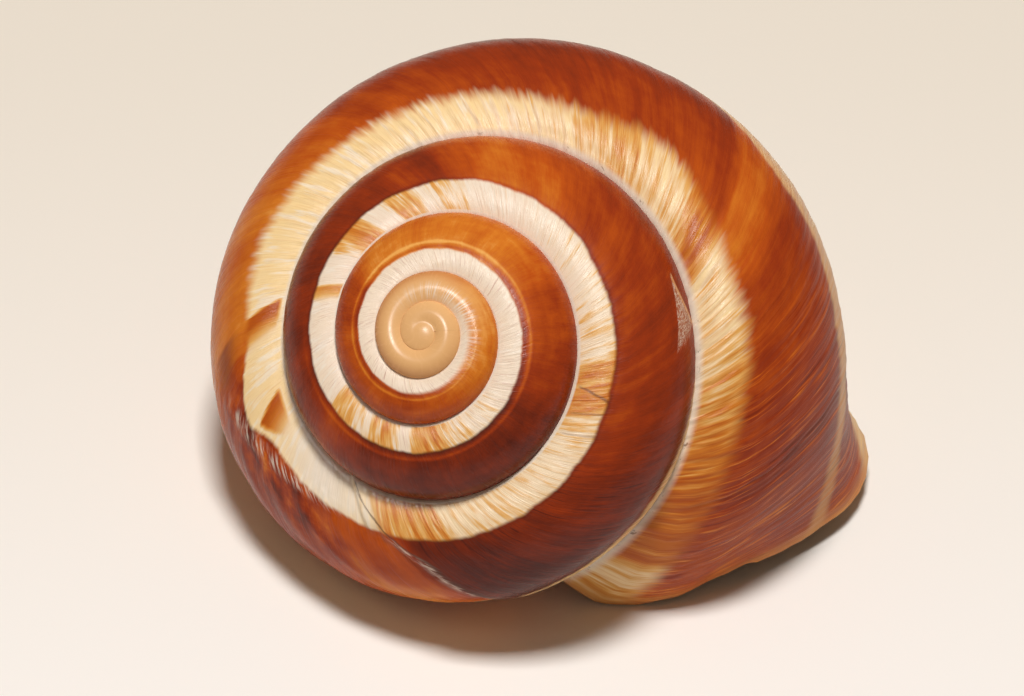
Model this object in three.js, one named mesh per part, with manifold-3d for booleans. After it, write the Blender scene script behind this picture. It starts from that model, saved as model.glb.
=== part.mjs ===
// The empty shell of a garden snail, lying mouth down on a flat surface.
// Millimetres, +Z up, the surface at z = 0. The spire leans towards -Y and a little towards -X.
// One wall coils round the axis: it starts at the tip, each whorl grows on the widest line of the
// one before it, and the last quarter turn bends down to the lip that stands on the surface.

import * as THREE from "three";
import { mergeVertices } from "three/addons/utils/BufferGeometryUtils.js";
import Module from "manifold-3d";

// Place of the tip, and the axis through it, pointing out of the spire.
const TIP = new THREE.Vector3(-7.0, -6.85, 18.97);
const AXIS_ELEVATION = 48.7;
const AXIS_BEARING = 238.0;

// How far the widest line of the coil stands from the axis, at each quarter turn from the tip.
const TURN_STEP = 0.25;
const WIDEST_RADII = [
  0.74, 0.98, 1.3, 1.71, 2.11, 2.51, 2.98, 3.47, 4.05, 4.94, 5.88, 6.93,
  7.89, 8.99, 10.0, 11.6, 13.42, 14.65, 16.2, 17.85, 20.5, 22.5, 24.3,
];

// Profile of the spire: the widest line drops by SPIRE_SLOPE for each mm outwards, past a domed tip.
const SPIRE_SLOPE = 0.8;
const SPIRE_DOME = 5.5;

// One whorl, as shares of its own widest radius and of the way across it, from suture to columella.
const ACROSS_WIDEST = 0.42;
const ACROSS_BASE = 0.74;
const SHOULDER_START = THREE.MathUtils.degToRad(-10);
const BASE_DEPTH = 0.54;
const BASE_RADIUS = 0.42;
const NAVEL_RADIUS = 0.06;
const NAVEL_RISE = 0.3;

// Growth lines sweep back from the suture: how many turns they lag, at places across the whorl.
// The lag sets in on the first hollow whorl and is full from LAG_FULL_TURN on.
const LAG_ACROSS = [0, 0.2, 0.42, 0.74, 1];
const LAG_TURNS = [0, 0.045, 0.085, 0.15, 0.2];
const LAG_FULL_TURN = 4;

// The last stretch leaves the even coil at BEND_TURN and ends in the lip at LIP_TURN.
const BEND_TURN = 4.98;
const LIP_TURN = 5.2;
const LIP_BEHIND_ANGLE = 0.75 * Math.PI;
const FLARE_ACROSS = [0, 0.14, 0.42, 0.62, 0.8, 1];
const FLARE = [0, 0.6, 1.2, 2.2, 1.2, 0.3];

// The lip from the suture round to the columella: share across, x, y, height over the surface.
const LIP = [
  [0, 1.1, -9.4, 2.9],
  [0.07, 3.2, -10.55, 0.3],
  [0.14, 5.5, -10.63, 0],
  [0.2, 7.4, -10.3, 0.1],
  [0.27, 9.3, -9.6, 0.7],
  [0.34, 11.4, -8.7, 1],
  [0.42, 13.6, -7.7, 1.2],
  [0.49, 15.9, -6.25, 1.3],
  [0.56, 17.8, -4.55, 1.4],
  [0.62, 18.9, -2.35, 1.5],
  [0.67, 19.2, 0.15, 1.5],
  [0.72, 18.4, 2.75, 1.3],
  [0.77, 16.4, 4.9, 0.9],
  [0.82, 13.6, 6.4, 0.4],
  [0.87, 10.5, 7.4, 0],
  [0.91, 7.7, 8.1, 0],
  [0.94, 5.2, 8.6, 0],
  [0.965, 2.6, 8.6, 0],
  [0.985, 0.4, 7.2, 1.2],
  [1, -0.7, 4.4, 4.4],
];

// Wall thickness: full on the large whorls, thinner towards the tip and, past THINNING_TURN, at the lip.
const WALL = 0.9;
const WALL_SHARE = 0.13;
const LIP_WALL = 0.65;
const THINNING_TURN = 4.9;

// The wall is rooted in the whorl before it by this share of its thickness.
const ROOT = 0.5;

// The columella is a slender pillar along the axis, from inside the spire down to the surface.
const PILLAR_DEPTHS = [0.9, 3, 5.8, 9, 13.2, 17.2, 21, 25.25];
const PILLAR_RADII = [0.3, 0.5, 0.85, 1.25, 1.6, 1.7, 1.4, 1.2];
const PILLAR_SIDES = 12;

// The first whorls are full, because their hollow is hair thin, and start round a small knob.
const KNOB_RADIUS = 0.75;
const KNOB_RISE = 0.2;
const KNOB_SIDES = 12;
const KNOB_RINGS = 8;
const TIP_GAP = 0.02;
const FIRST_TURN = 0.3;
const FULL_UNTIL = 2.9;
const OVERLAP = 0.06;
const AXIS_GAP = 0.12;

// Facets: rows along the coil, closer together as it grows, and columns across it.
const ROW_STEPS = [[1.2, 14], [2.2, 20], [3.2, 26], [4.2, 32], [6, 36]];
const SEGMENT_TURNS = 0.5;
const FULL_ACROSS = [0.06, 0.14, 0.22, 0.32, 0.42, 0.53, 0.64, 0.74, 0.87, 1];
const WALL_ACROSS = [
  0.05, 0.12, 0.19, 0.26, 0.34, 0.42, 0.5, 0.57, 0.63, 0.68, 0.74, 0.8, 0.87, 0.91, 0.94, 0.965,
  0.985, 1,
];

// Steps for slopes, in turns and in shares across, and the distance at which points are one.
const SWEEP_NUDGE = 1e-3;
const SURFACE_NUDGE = 2e-3;
const SAME_POINT = 1e-5;

const TURN = 2 * Math.PI;

/** A smooth curve through a table of values: natural cubic spline. */
function spline(places, values) {
  const n = places.length;
  const bend = new Array(n).fill(0);
  const carried = new Array(n).fill(0);
  for (let i = 1; i < n - 1; i += 1) {
    const before = places[i] - places[i - 1];
    const after = places[i + 1] - places[i];
    const slopeChange = (values[i + 1] - values[i]) / after - (values[i] - values[i - 1]) / before;
    const pivot = 2 * (before + after) - before * carried[i - 1];
    carried[i] = after / pivot;
    bend[i] = (6 * slopeChange - before * bend[i - 1]) / pivot;
  }
  for (let i = n - 2; i > 0; i -= 1) {
    bend[i] -= carried[i] * bend[i + 1];
  }
  return (x) => {
    let i = 0;
    while (i < n - 2 && x > places[i + 1]) {
      i += 1;
    }
    const h = places[i + 1] - places[i];
    const a = (places[i + 1] - x) / h;
    const b = (x - places[i]) / h;
    const curve = ((a ** 3 - a) * bend[i] + (b ** 3 - b) * bend[i + 1]) * h * h / 6;
    return a * values[i] + b * values[i + 1] + curve;
  };
}

const lnRadius = spline(WIDEST_RADII.map((_, i) => i * TURN_STEP), WIDEST_RADII.map(Math.log));
const lag = spline(LAG_ACROSS, LAG_TURNS);
const flare = spline(FLARE_ACROSS, FLARE);
const lipX = spline(LIP.map((p) => p[0]), LIP.map((p) => p[1]));
const lipY = spline(LIP.map((p) => p[0]), LIP.map((p) => p[2]));

/** Height of the lip over the surface, in straight steps so that it stays flat where it stands. */
function lipHeight(across) {
  let i = 0;
  while (i < LIP.length - 2 && across > LIP[i + 1][0]) {
    i += 1;
  }
  const share = (across - LIP[i][0]) / (LIP[i + 1][0] - LIP[i][0]);
  return THREE.MathUtils.lerp(LIP[i][3], LIP[i + 1][3], share);
}

// Directions of the coil: along the axis, and the two across it that turns are counted from.
const elevation = THREE.MathUtils.degToRad(AXIS_ELEVATION);
const bearing = THREE.MathUtils.degToRad(AXIS_BEARING);
const along = new THREE.Vector3(
  Math.cos(elevation) * Math.cos(bearing),
  Math.cos(elevation) * Math.sin(bearing),
  Math.sin(elevation),
);
const side = new THREE.Vector3(1, 0, 0).projectOnPlane(along).normalize();
const front = side.clone().cross(along).normalize();

/** Point of the part from a radius and an angle round the axis and a height along it. */
function place(radius, angle, height) {
  return TIP.clone()
    .addScaledVector(side, radius * Math.cos(angle))
    .addScaledVector(front, radius * Math.sin(angle))
    .addScaledVector(along, height);
}

const widest = (turn) => Math.exp(lnRadius(Math.max(turn, 0)));
const drop = (radius) => -SPIRE_SLOPE * (Math.hypot(radius, SPIRE_DOME) - SPIRE_DOME);

/** Radius, angle and height of the even coil, at a turn and a share across the whorl. */
function evenCoil(growth, across) {
  const turn = growth - lag(across) * THREE.MathUtils.smoothstep(growth, FULL_UNTIL, LAG_FULL_TURN);
  const wide = widest(turn);
  const wideZ = drop(wide);
  const angle = TURN * turn;
  if (across <= ACROSS_WIDEST) {
    const sutureR = turn > 1 ? widest(turn - 1) : TIP_GAP;
    const sutureZ = turn > 1 ? drop(sutureR) : 0;
    const lean = THREE.MathUtils.lerp(SHOULDER_START, Math.PI / 2, across / ACROSS_WIDEST);
    const rise = (Math.sin(lean) - Math.sin(SHOULDER_START)) / (1 - Math.sin(SHOULDER_START));
    const fall = Math.cos(lean) / Math.cos(SHOULDER_START);
    return [THREE.MathUtils.lerp(sutureR, wide, rise), angle, wideZ + (sutureZ - wideZ) * fall];
  }
  const baseR = BASE_RADIUS * wide;
  const baseZ = wideZ - BASE_DEPTH * wide;
  if (across <= ACROSS_BASE) {
    const lean = (Math.PI / 2) * (across - ACROSS_WIDEST) / (ACROSS_BASE - ACROSS_WIDEST);
    const radius = baseR + (wide - baseR) * Math.cos(lean);
    return [radius, angle, wideZ - BASE_DEPTH * wide * Math.sin(lean)];
  }
  const lean = (Math.PI / 2) * (across - ACROSS_BASE) / (1 - ACROSS_BASE);
  const radius = baseR - (baseR - NAVEL_RADIUS * wide) * Math.sin(lean);
  return [radius, angle, baseZ + NAVEL_RISE * wide * (1 - Math.cos(lean))];
}

/** Radius, angle and height of the lip at a share across the whorl. */
function lipCoil(across) {
  const reach = new THREE.Vector3(lipX(across), lipY(across), lipHeight(across)).sub(TIP);
  const x = reach.dot(side);
  const y = reach.dot(front);
  const angle = Math.atan2(y, x);
  const turns = Math.floor(LIP_TURN) + (angle > LIP_BEHIND_ANGLE ? -1 : 0);
  return [Math.hypot(x, y), angle + TURN * turns, reach.dot(along)];
}

/** Outside of the shell: the even coil, and past BEND_TURN one smooth sweep down to the lip. */
function outside(growth, across) {
  if (growth <= BEND_TURN) {
    return place(...evenCoil(growth, across));
  }
  const stretch = LIP_TURN - BEND_TURN;
  const s = Math.min((growth - BEND_TURN) / stretch, 1);
  const start = evenCoil(BEND_TURN, across);
  const before = evenCoil(BEND_TURN - SWEEP_NUDGE, across);
  const end = lipCoil(across);
  const swept = start.map((from, k) => {
    const leave = (from - before[k]) / SWEEP_NUDGE * stretch;
    const arrive = 2 * (end[k] - from) - leave + (k === 0 ? flare(across) : 0);
    const startShare = (1 + 2 * s) * (1 - s) ** 2;
    const bends = s * (1 - s) * ((1 - s) * leave - s * arrive);
    return startShare * from + (1 - startShare) * end[k] + bends;
  });
  return place(...swept);
}

/** Direction out of the wall. */
function outward(growth, across) {
  const at = Math.min(growth, LIP_TURN - SURFACE_NUDGE);
  const low = Math.max(across - SURFACE_NUDGE, 0);
  const high = Math.min(across + SURFACE_NUDGE, 1);
  const alongGrowth = outside(at + SURFACE_NUDGE, across).sub(outside(at - SURFACE_NUDGE, across));
  const acrossWhorl = outside(at, high).sub(outside(at, low));
  return alongGrowth.cross(acrossWhorl).normalize();
}

/** Thickness of the wall. */
function thickness(growth) {
  const full = Math.min(WALL, WALL_SHARE * widest(growth));
  return THREE.MathUtils.lerp(full, LIP_WALL, THREE.MathUtils.smoothstep(growth, THINNING_TURN, LIP_TURN));
}

/** One row of the wall: its outer points, then its inner points, each with a root at both ends. */
function wallRow(growth) {
  const wall = thickness(growth);
  const sunk = wall / 2 * (1 - THREE.MathUtils.smoothstep(growth, FULL_UNTIL - OVERLAP, FULL_UNTIL));
  const atLip = growth > LIP_TURN - SAME_POINT;
  const outer = [];
  const inner = [];
  for (const across of WALL_ACROSS) {
    const point = outside(growth, across);
    const out = outward(growth, across);
    if (atLip) {
      out.setZ(0).normalize();
    }
    outer.push(point.clone().addScaledVector(out, -sunk));
    inner.push(point.addScaledVector(out, -wall));
  }
  const suture = outside(growth, 0);
  const inwards = TIP.clone().sub(suture).projectOnPlane(along).normalize();
  suture.addScaledVector(inwards, ROOT * wall);
  const underside = suture.clone().addScaledVector(outward(growth, 0), -wall / 2);
  return [suture, ...outer, ...inner.reverse(), underside];
}

/** One row of a full whorl: across its outside and back up beside the axis. */
function fullRow(growth) {
  const sunk = thickness(growth) / 2 * THREE.MathUtils.smoothstep(growth, FULL_UNTIL, FULL_UNTIL + OVERLAP);
  const points = FULL_ACROSS.map((across) =>
    outside(growth, across).addScaledVector(outward(growth, across), -sunk));
  const angle = TURN * growth;
  const top = points[0].clone().sub(TIP).dot(along) - AXIS_GAP;
  const foot = points[points.length - 1].clone().sub(TIP).dot(along);
  return [...points, place(AXIS_GAP, angle, foot), place(AXIS_GAP, angle, top)];
}

/** Tube through rows of points, each row a ring, open at both ends. */
function loft(rows) {
  const count = rows[0].length;
  const positions = rows.flat().flatMap((p) => [p.x, p.y, p.z]);
  const faces = [];
  for (let r = 0; r < rows.length - 1; r += 1) {
    for (let c = 0; c < count; c += 1) {
      const a = r * count + c;
      const b = r * count + (c + 1) % count;
      faces.push(a, a + count, b, b, a + count, b + count);
    }
  }
  return { positions, faces, count, rows: rows.length };
}

/** Closes an end of a wall with a strip from its outer to its inner points. */
function stripEnd(shape, row, flip) {
  const first = row * shape.count;
  for (let c = 0; c < shape.count / 2 - 1; c += 1) {
    const a = first + c;
    const b = first + shape.count - 1 - c;
    const quad = b - 1 > a + 1 ? [a, a + 1, b, b, a + 1, b - 1] : [a, a + 1, b];
    shape.faces.push(...(flip ? quad.reverse() : quad));
  }
}

/** Closes an end of a full ring with a fan from its last point. */
function fanEnd(shape, row, flip) {
  const first = row * shape.count;
  for (let c = 0; c < shape.count - 2; c += 1) {
    const fan = [first + shape.count - 1, first + c, first + c + 1];
    shape.faces.push(...(flip ? fan.reverse() : fan));
  }
}

const wasm = await Module();
wasm.setup();

/** Solid from positions and faces. */
function solid({ positions, faces }) {
  const raw = new THREE.BufferGeometry();
  raw.setAttribute("position", new THREE.Float32BufferAttribute(positions, 3));
  raw.setIndex(faces);
  const merged = mergeVertices(raw, SAME_POINT);
  return new wasm.Manifold(new wasm.Mesh({
    numProp: 3,
    vertProperties: new Float32Array(merged.attributes.position.array),
    triVerts: new Uint32Array(merged.index.array),
  }));
}

/** Places of the rows between two places of the coil. */
function rowPlaces(from, to) {
  const rate = ROW_STEPS.find(([until]) => from < until)[1];
  const steps = Math.max(1, Math.round((to - from) * rate));
  return Array.from({ length: steps + 1 }, (_, i) => THREE.MathUtils.lerp(from, to, i / steps));
}

/** Solids of a stretch of the coil, cut in segments shorter than a turn. */
function coil(from, to, rowAt, closeEnd) {
  const parts = Math.ceil((to - from) / SEGMENT_TURNS);
  return Array.from({ length: parts }, (_, part) => {
    const start = THREE.MathUtils.lerp(from, to, part / parts);
    const end = THREE.MathUtils.lerp(from, to, (part + 1) / parts);
    const shape = loft(rowPlaces(start, end).map(rowAt));
    closeEnd(shape, 0, false);
    closeEnd(shape, shape.rows - 1, true);
    return solid(shape);
  });
}

/** The knob that the coil starts round. */
function knob() {
  const ball = new THREE.SphereGeometry(KNOB_RADIUS, KNOB_SIDES, KNOB_RINGS);
  ball.translate(...place(0, 0, KNOB_RISE - KNOB_RADIUS).toArray());
  return solid({ positions: [...ball.attributes.position.array], faces: [...ball.index.array] });
}

/** The columella: rings along the axis, the last one laid flat on the surface. */
function pillar() {
  const foot = PILLAR_DEPTHS.length - 1;
  const rings = PILLAR_DEPTHS.map((depth, i) =>
    Array.from({ length: PILLAR_SIDES }, (_, k) => {
      const point = place(PILLAR_RADII[i], -TURN * k / PILLAR_SIDES, -depth);
      return i === foot ? point.addScaledVector(along, -point.z / along.z) : point;
    }));
  const shape = loft(rings);
  fanEnd(shape, 0, false);
  fanEnd(shape, shape.rows - 1, true);
  return solid(shape);
}

const fullWhorls = coil(FIRST_TURN, FULL_UNTIL + OVERLAP, fullRow, fanEnd);
const walls = coil(FULL_UNTIL - OVERLAP, LIP_TURN, wallRow, stripEnd);
const whole = [knob(), ...fullWhorls, ...walls, pillar()].reduce((sum, piece) => sum.add(piece));

/** Geometry of a solid. */
function geometryOf(body) {
  const mesh = body.getMesh();
  const geometry = new THREE.BufferGeometry();
  geometry.setAttribute("position", new THREE.BufferAttribute(new Float32Array(mesh.vertProperties), 3));
  geometry.setIndex(new THREE.BufferAttribute(new Uint32Array(mesh.triVerts), 1));
  geometry.computeVertexNormals();
  return geometry;
}

const shellMaterial = new THREE.MeshStandardMaterial({ color: 0x9a4f22, roughness: 0.35, metalness: 0 });
const shell = new THREE.Mesh(geometryOf(whole), shellMaterial);
shell.name = "shell";

const part = new THREE.Group();
part.add(shell);

export default part;
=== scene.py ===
"""The empty shell of a garden snail on a pale floor, seen from above and in front.

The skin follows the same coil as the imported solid, in millimetres, with fine growth lines, healed
breaks, a chipped lip and a banded finish that runs along the growth lines.
"""

import logging
import math
from dataclasses import dataclass
from enum import Enum

import bpy
import numpy as np
from mathutils import Matrix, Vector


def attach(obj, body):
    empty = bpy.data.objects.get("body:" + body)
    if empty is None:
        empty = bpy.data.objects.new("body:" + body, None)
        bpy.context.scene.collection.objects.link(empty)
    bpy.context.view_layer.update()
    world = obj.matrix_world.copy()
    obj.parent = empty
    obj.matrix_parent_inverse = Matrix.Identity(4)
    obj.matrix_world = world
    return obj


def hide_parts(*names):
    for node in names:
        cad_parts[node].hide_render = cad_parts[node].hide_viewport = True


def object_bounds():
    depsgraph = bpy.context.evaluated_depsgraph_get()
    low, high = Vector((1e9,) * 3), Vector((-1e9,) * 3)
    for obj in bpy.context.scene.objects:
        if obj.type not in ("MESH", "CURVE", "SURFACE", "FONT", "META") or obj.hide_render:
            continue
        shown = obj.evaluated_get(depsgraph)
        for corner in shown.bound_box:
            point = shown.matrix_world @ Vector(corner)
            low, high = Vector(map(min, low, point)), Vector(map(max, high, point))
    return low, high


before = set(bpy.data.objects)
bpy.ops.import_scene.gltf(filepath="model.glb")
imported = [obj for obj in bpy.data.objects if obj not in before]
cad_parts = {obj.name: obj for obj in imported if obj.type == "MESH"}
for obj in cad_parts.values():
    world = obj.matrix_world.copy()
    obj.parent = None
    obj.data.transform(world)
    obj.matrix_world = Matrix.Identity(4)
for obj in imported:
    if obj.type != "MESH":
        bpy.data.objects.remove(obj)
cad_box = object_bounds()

LOG = logging.getLogger("shell")
MM = 0.001
SHARP_EDGE = math.radians(65)

Row = tuple[float, ...]
Zone = tuple[float, float]
Colour = tuple[float, float, float, float]
Layer = bpy.types.NodeSocket


def smoothstep(x: np.ndarray, low: float, high: float) -> np.ndarray:
    """Gives the smooth step of x from 0 at low to 1 at high.

    Args:
        x: Values.
        low: Where the step starts.
        high: Where the step ends.

    Returns:
        The step at each value.
    """
    t = np.clip((x - low) / (high - low), 0, 1)
    return t * t * (3 - 2 * t)


def bump(x: np.ndarray, middle: float, half_width: float) -> np.ndarray:
    """Gives a smooth hill, 1 at its middle and 0 from half_width away on."""
    return 1 - smoothstep(np.abs(x - middle), 0, half_width)


class Spline:
    """A smooth curve through a table of values: natural cubic spline."""

    def __init__(self, places: list[float], values: list[float]) -> None:
        """Solves the curve's bends.

        Args:
            places: Where the values stand, rising.
            values: The values.
        """
        self.x = np.array(places, float)
        self.y = np.array(values, float)
        n = len(self.x)
        h = np.diff(self.x)
        system = np.eye(n)
        right = np.zeros(n)
        for i in range(1, n - 1):
            system[i, i - 1 : i + 2] = h[i - 1], 2 * (h[i - 1] + h[i]), h[i]
            right[i] = 6 * ((self.y[i + 1] - self.y[i]) / h[i] - (self.y[i] - self.y[i - 1]) / h[i - 1])
        self.bend = np.linalg.solve(system, right)

    def __call__(self, x: np.ndarray) -> np.ndarray:
        """Gives the curve at x."""
        x = np.asarray(x, float)
        i = np.clip(np.searchsorted(self.x, x, side="left") - 1, 0, len(self.x) - 2)
        h = self.x[i + 1] - self.x[i]
        a = (self.x[i + 1] - x) / h
        b = (x - self.x[i]) / h
        curve = ((a**3 - a) * self.bend[i] + (b**3 - b) * self.bend[i + 1]) * h * h / 6
        return a * self.y[i] + b * self.y[i + 1] + curve


@dataclass
class Coil:
    """The form of the shell, in millimetres and turns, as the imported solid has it."""

    tip: tuple[float, float, float] = (-7.0, -6.85, 18.97)
    axis_elevation: float = 48.7
    axis_bearing: float = 238.0
    turn_step: float = 0.25
    widest_radii: tuple[float, ...] = (
        0.74, 0.98, 1.3, 1.71, 2.11, 2.51, 2.98, 3.47, 4.05, 4.94, 5.88, 6.93,
        7.89, 8.99, 10.0, 11.6, 13.42, 14.65, 16.2, 17.85, 20.5, 22.5, 24.3,
    )
    spire_slope: float = 0.8
    spire_dome: float = 5.5
    across_widest: float = 0.42
    across_base: float = 0.74
    shoulder_start: float = math.radians(-10)
    base_depth: float = 0.54
    base_radius: float = 0.42
    navel_radius: float = 0.06
    navel_rise: float = 0.3
    lag_across: tuple[float, ...] = (0, 0.2, 0.42, 0.74, 1)
    lag_turns: tuple[float, ...] = (0, 0.045, 0.085, 0.15, 0.2)
    lag_from: float = 2.9
    lag_full: float = 4.0
    bend_turn: float = 4.98
    lip_turn: float = 5.2
    lip_behind_angle: float = 0.75 * math.pi
    flare_across: tuple[float, ...] = (0, 0.14, 0.42, 0.62, 0.8, 1)
    flare_by: tuple[float, ...] = (0, 0.6, 1.2, 2.2, 1.2, 0.3)
    lip_points: tuple[tuple[float, float, float, float], ...] = (
        (0, 0.5, -9.95, 1.9),
        (0.07, 3.0, -10.6, 0.25),
        (0.14, 5.5, -10.63, 0),
        (0.2, 7.4, -10.3, 0.1),
        (0.27, 9.3, -9.6, 0.7),
        (0.34, 11.4, -8.7, 1),
        (0.42, 13.6, -7.7, 1.2),
        (0.49, 15.9, -6.25, 1.3),
        (0.56, 17.8, -4.55, 1.4),
        (0.62, 18.9, -2.35, 1.5),
        (0.67, 19.2, 0.15, 1.5),
        (0.72, 18.4, 2.75, 1.3),
        (0.77, 16.4, 4.9, 0.9),
        (0.82, 13.6, 6.4, 0.4),
        (0.87, 10.5, 7.4, 0),
        (0.91, 7.7, 8.1, 0),
        (0.94, 5.2, 8.6, 0),
        (0.965, 2.6, 8.6, 0),
        (0.985, 0.4, 7.2, 1.2),
        (1, -0.7, 4.4, 4.4),
    )
    nudge: float = 1e-3
    tip_gap: float = 0.004

    def __post_init__(self) -> None:
        """Works out the directions of the coil and its curves."""
        elevation = math.radians(self.axis_elevation)
        bearing = math.radians(self.axis_bearing)
        flat = math.cos(elevation)
        self.along = np.array([flat * math.cos(bearing), flat * math.sin(bearing), math.sin(elevation)])
        side = np.array([1.0, 0, 0]) - self.along[0] * self.along
        self.side = side / np.linalg.norm(side)
        self.front = np.cross(self.side, self.along)
        steps = [i * self.turn_step for i in range(len(self.widest_radii))]
        self.ln_radius = Spline(steps, [math.log(r) for r in self.widest_radii])
        self.lag = Spline(self.lag_across, self.lag_turns)
        self.flare = Spline(self.flare_across, self.flare_by)
        self.lip_across = [p[0] for p in self.lip_points]
        self.lip_x = Spline(self.lip_across, [p[1] for p in self.lip_points])
        self.lip_y = Spline(self.lip_across, [p[2] for p in self.lip_points])
        fine = np.linspace(0, self.lip_turn, 4000)
        wide = self.widest(fine)
        run = 2 * math.pi * (wide[1:] + wide[:-1]) / 2 * np.diff(fine)
        self.arc_turns = fine
        self.arc_mm = np.concatenate([[0], np.cumsum(run)])

    def widest(self, turn: np.ndarray) -> np.ndarray:
        """Gives the distance of the widest line from the axis at a turn."""
        return np.exp(self.ln_radius(np.maximum(turn, 0)))

    def drop(self, radius: np.ndarray) -> np.ndarray:
        """Gives the height of the spire's profile at a distance from the axis."""
        return -self.spire_slope * (np.hypot(radius, self.spire_dome) - self.spire_dome)

    def arc(self, turn: np.ndarray) -> np.ndarray:
        """Gives the length of the widest line from the tip to a turn, in mm."""
        return np.interp(turn, self.arc_turns, self.arc_mm)

    def place(self, radius: np.ndarray, angle: np.ndarray, height: np.ndarray) -> np.ndarray:
        """Gives points from radii and angles round the axis and heights along it."""
        x = (radius * np.cos(angle))[..., None] * self.side
        y = (radius * np.sin(angle))[..., None] * self.front
        return np.array(self.tip) + x + y + height[..., None] * self.along

    def even(self, growth: np.ndarray, across: np.ndarray) -> list[np.ndarray]:
        """Gives radius, angle and height of the even coil.

        Args:
            growth: Turns from the tip.
            across: Share of the way across the whorl.

        Returns:
            Radius, angle and height.
        """
        turn = growth - self.lag(across) * smoothstep(growth, self.lag_from, self.lag_full)
        wide = self.widest(turn)
        wide_z = self.drop(wide)
        inner = np.where(turn > 1, self.widest(turn - 1), self.tip_gap)
        inner_z = np.where(turn > 1, self.drop(inner), 0)
        start = self.shoulder_start
        lean = start + (math.pi / 2 - start) * np.minimum(across / self.across_widest, 1)
        rise = (np.sin(lean) - math.sin(start)) / (1 - math.sin(start))
        fall = np.cos(lean) / math.cos(start)
        top_r = inner + (wide - inner) * rise
        top_z = wide_z + (inner_z - wide_z) * fall
        base_r = self.base_radius * wide
        share = np.clip((across - self.across_widest) / (self.across_base - self.across_widest), 0, 1)
        under = math.pi / 2 * share
        low_r = base_r + (wide - base_r) * np.cos(under)
        low_z = wide_z - self.base_depth * wide * np.sin(under)
        navel = math.pi / 2 * np.clip((across - self.across_base) / (1 - self.across_base), 0, 1)
        deep_r = base_r - (base_r - self.navel_radius * wide) * np.sin(navel)
        deep_z = wide_z - self.base_depth * wide + self.navel_rise * wide * (1 - np.cos(navel))
        on_top = across <= self.across_widest
        on_base = across <= self.across_base
        radius = np.where(on_top, top_r, np.where(on_base, low_r, deep_r))
        height = np.where(on_top, top_z, np.where(on_base, low_z, deep_z))
        return [radius, 2 * math.pi * turn, height]

    def lip(self, across: np.ndarray) -> list[np.ndarray]:
        """Gives radius, angle and height of the lip."""
        heights = [p[3] for p in self.lip_points]
        low = np.interp(across, self.lip_across, heights)
        reach = np.stack([self.lip_x(across), self.lip_y(across), low], -1) - np.array(self.tip)
        x = reach @ self.side
        y = reach @ self.front
        angle = np.arctan2(y, x)
        turns = math.floor(self.lip_turn) - (angle > self.lip_behind_angle)
        return [np.hypot(x, y), angle + 2 * math.pi * turns, reach @ self.along]

    def outside(self, growth: np.ndarray, across: np.ndarray) -> np.ndarray:
        """Gives points of the shell's outside.

        Args:
            growth: Turns from the tip.
            across: Share of the way across the whorl.

        Returns:
            Points in mm: the even coil, then one smooth sweep down to the lip.
        """
        growth, across = np.broadcast_arrays(np.asarray(growth, float), np.asarray(across, float))
        coil = self.even(np.minimum(growth, self.bend_turn), across)
        stretch = self.lip_turn - self.bend_turn
        s = np.clip((growth - self.bend_turn) / stretch, 0, 1)
        if s.max() <= 0:
            return self.place(*coil)
        turn = np.full_like(across, self.bend_turn)
        start = self.even(turn, across)
        before = self.even(turn - self.nudge, across)
        end = self.lip(across)
        swept = []
        for k in range(3):
            leave = (start[k] - before[k]) / self.nudge * stretch
            arrive = 2 * (end[k] - start[k]) - leave + (self.flare(across) if k == 0 else 0)
            share = (1 + 2 * s) * (1 - s) ** 2
            path = share * start[k] + (1 - share) * end[k] + s * (1 - s) * ((1 - s) * leave - s * arrive)
            swept.append(np.where(growth > self.bend_turn, path, coil[k]))
        return self.place(*swept)

    def outward(self, growth: np.ndarray, across: np.ndarray) -> np.ndarray:
        """Gives the directions out of the wall."""
        step = 2 * self.nudge
        at = np.clip(growth, step, self.lip_turn - step)
        at = np.where(np.abs(at - 1) < 1.1 * step, np.where(at > 1, 1 + 1.1 * step, 1 - 1.1 * step), at)
        low = np.maximum(across - step, 0)
        high = np.minimum(across + step, 1)
        on = self.outside(at + step, across) - self.outside(at - step, across)
        over = self.outside(at, high) - self.outside(at, low)
        out = np.cross(on, over)
        return out / np.maximum(np.linalg.norm(out, axis=-1, keepdims=True), 1e-12)


@dataclass
class Ripple:
    """Uneven ripples along a line: smooth noise from seeded heights at even steps."""

    step: float
    length: float
    seed: int

    def __post_init__(self) -> None:
        """Draws the heights."""
        count = int(self.length / self.step) + 8
        self.heights = np.random.default_rng(self.seed).uniform(-1, 1, count)

    def __call__(self, x: np.ndarray) -> np.ndarray:
        """Gives the ripple's height, from -1 to 1, at places along the line."""
        at = np.clip(x / self.step + 2, 1, len(self.heights) - 3)
        i = np.floor(at).astype(int)
        t = at - i
        t = t * t * (3 - 2 * t)
        return self.heights[i] * (1 - t) + self.heights[i + 1] * t


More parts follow.
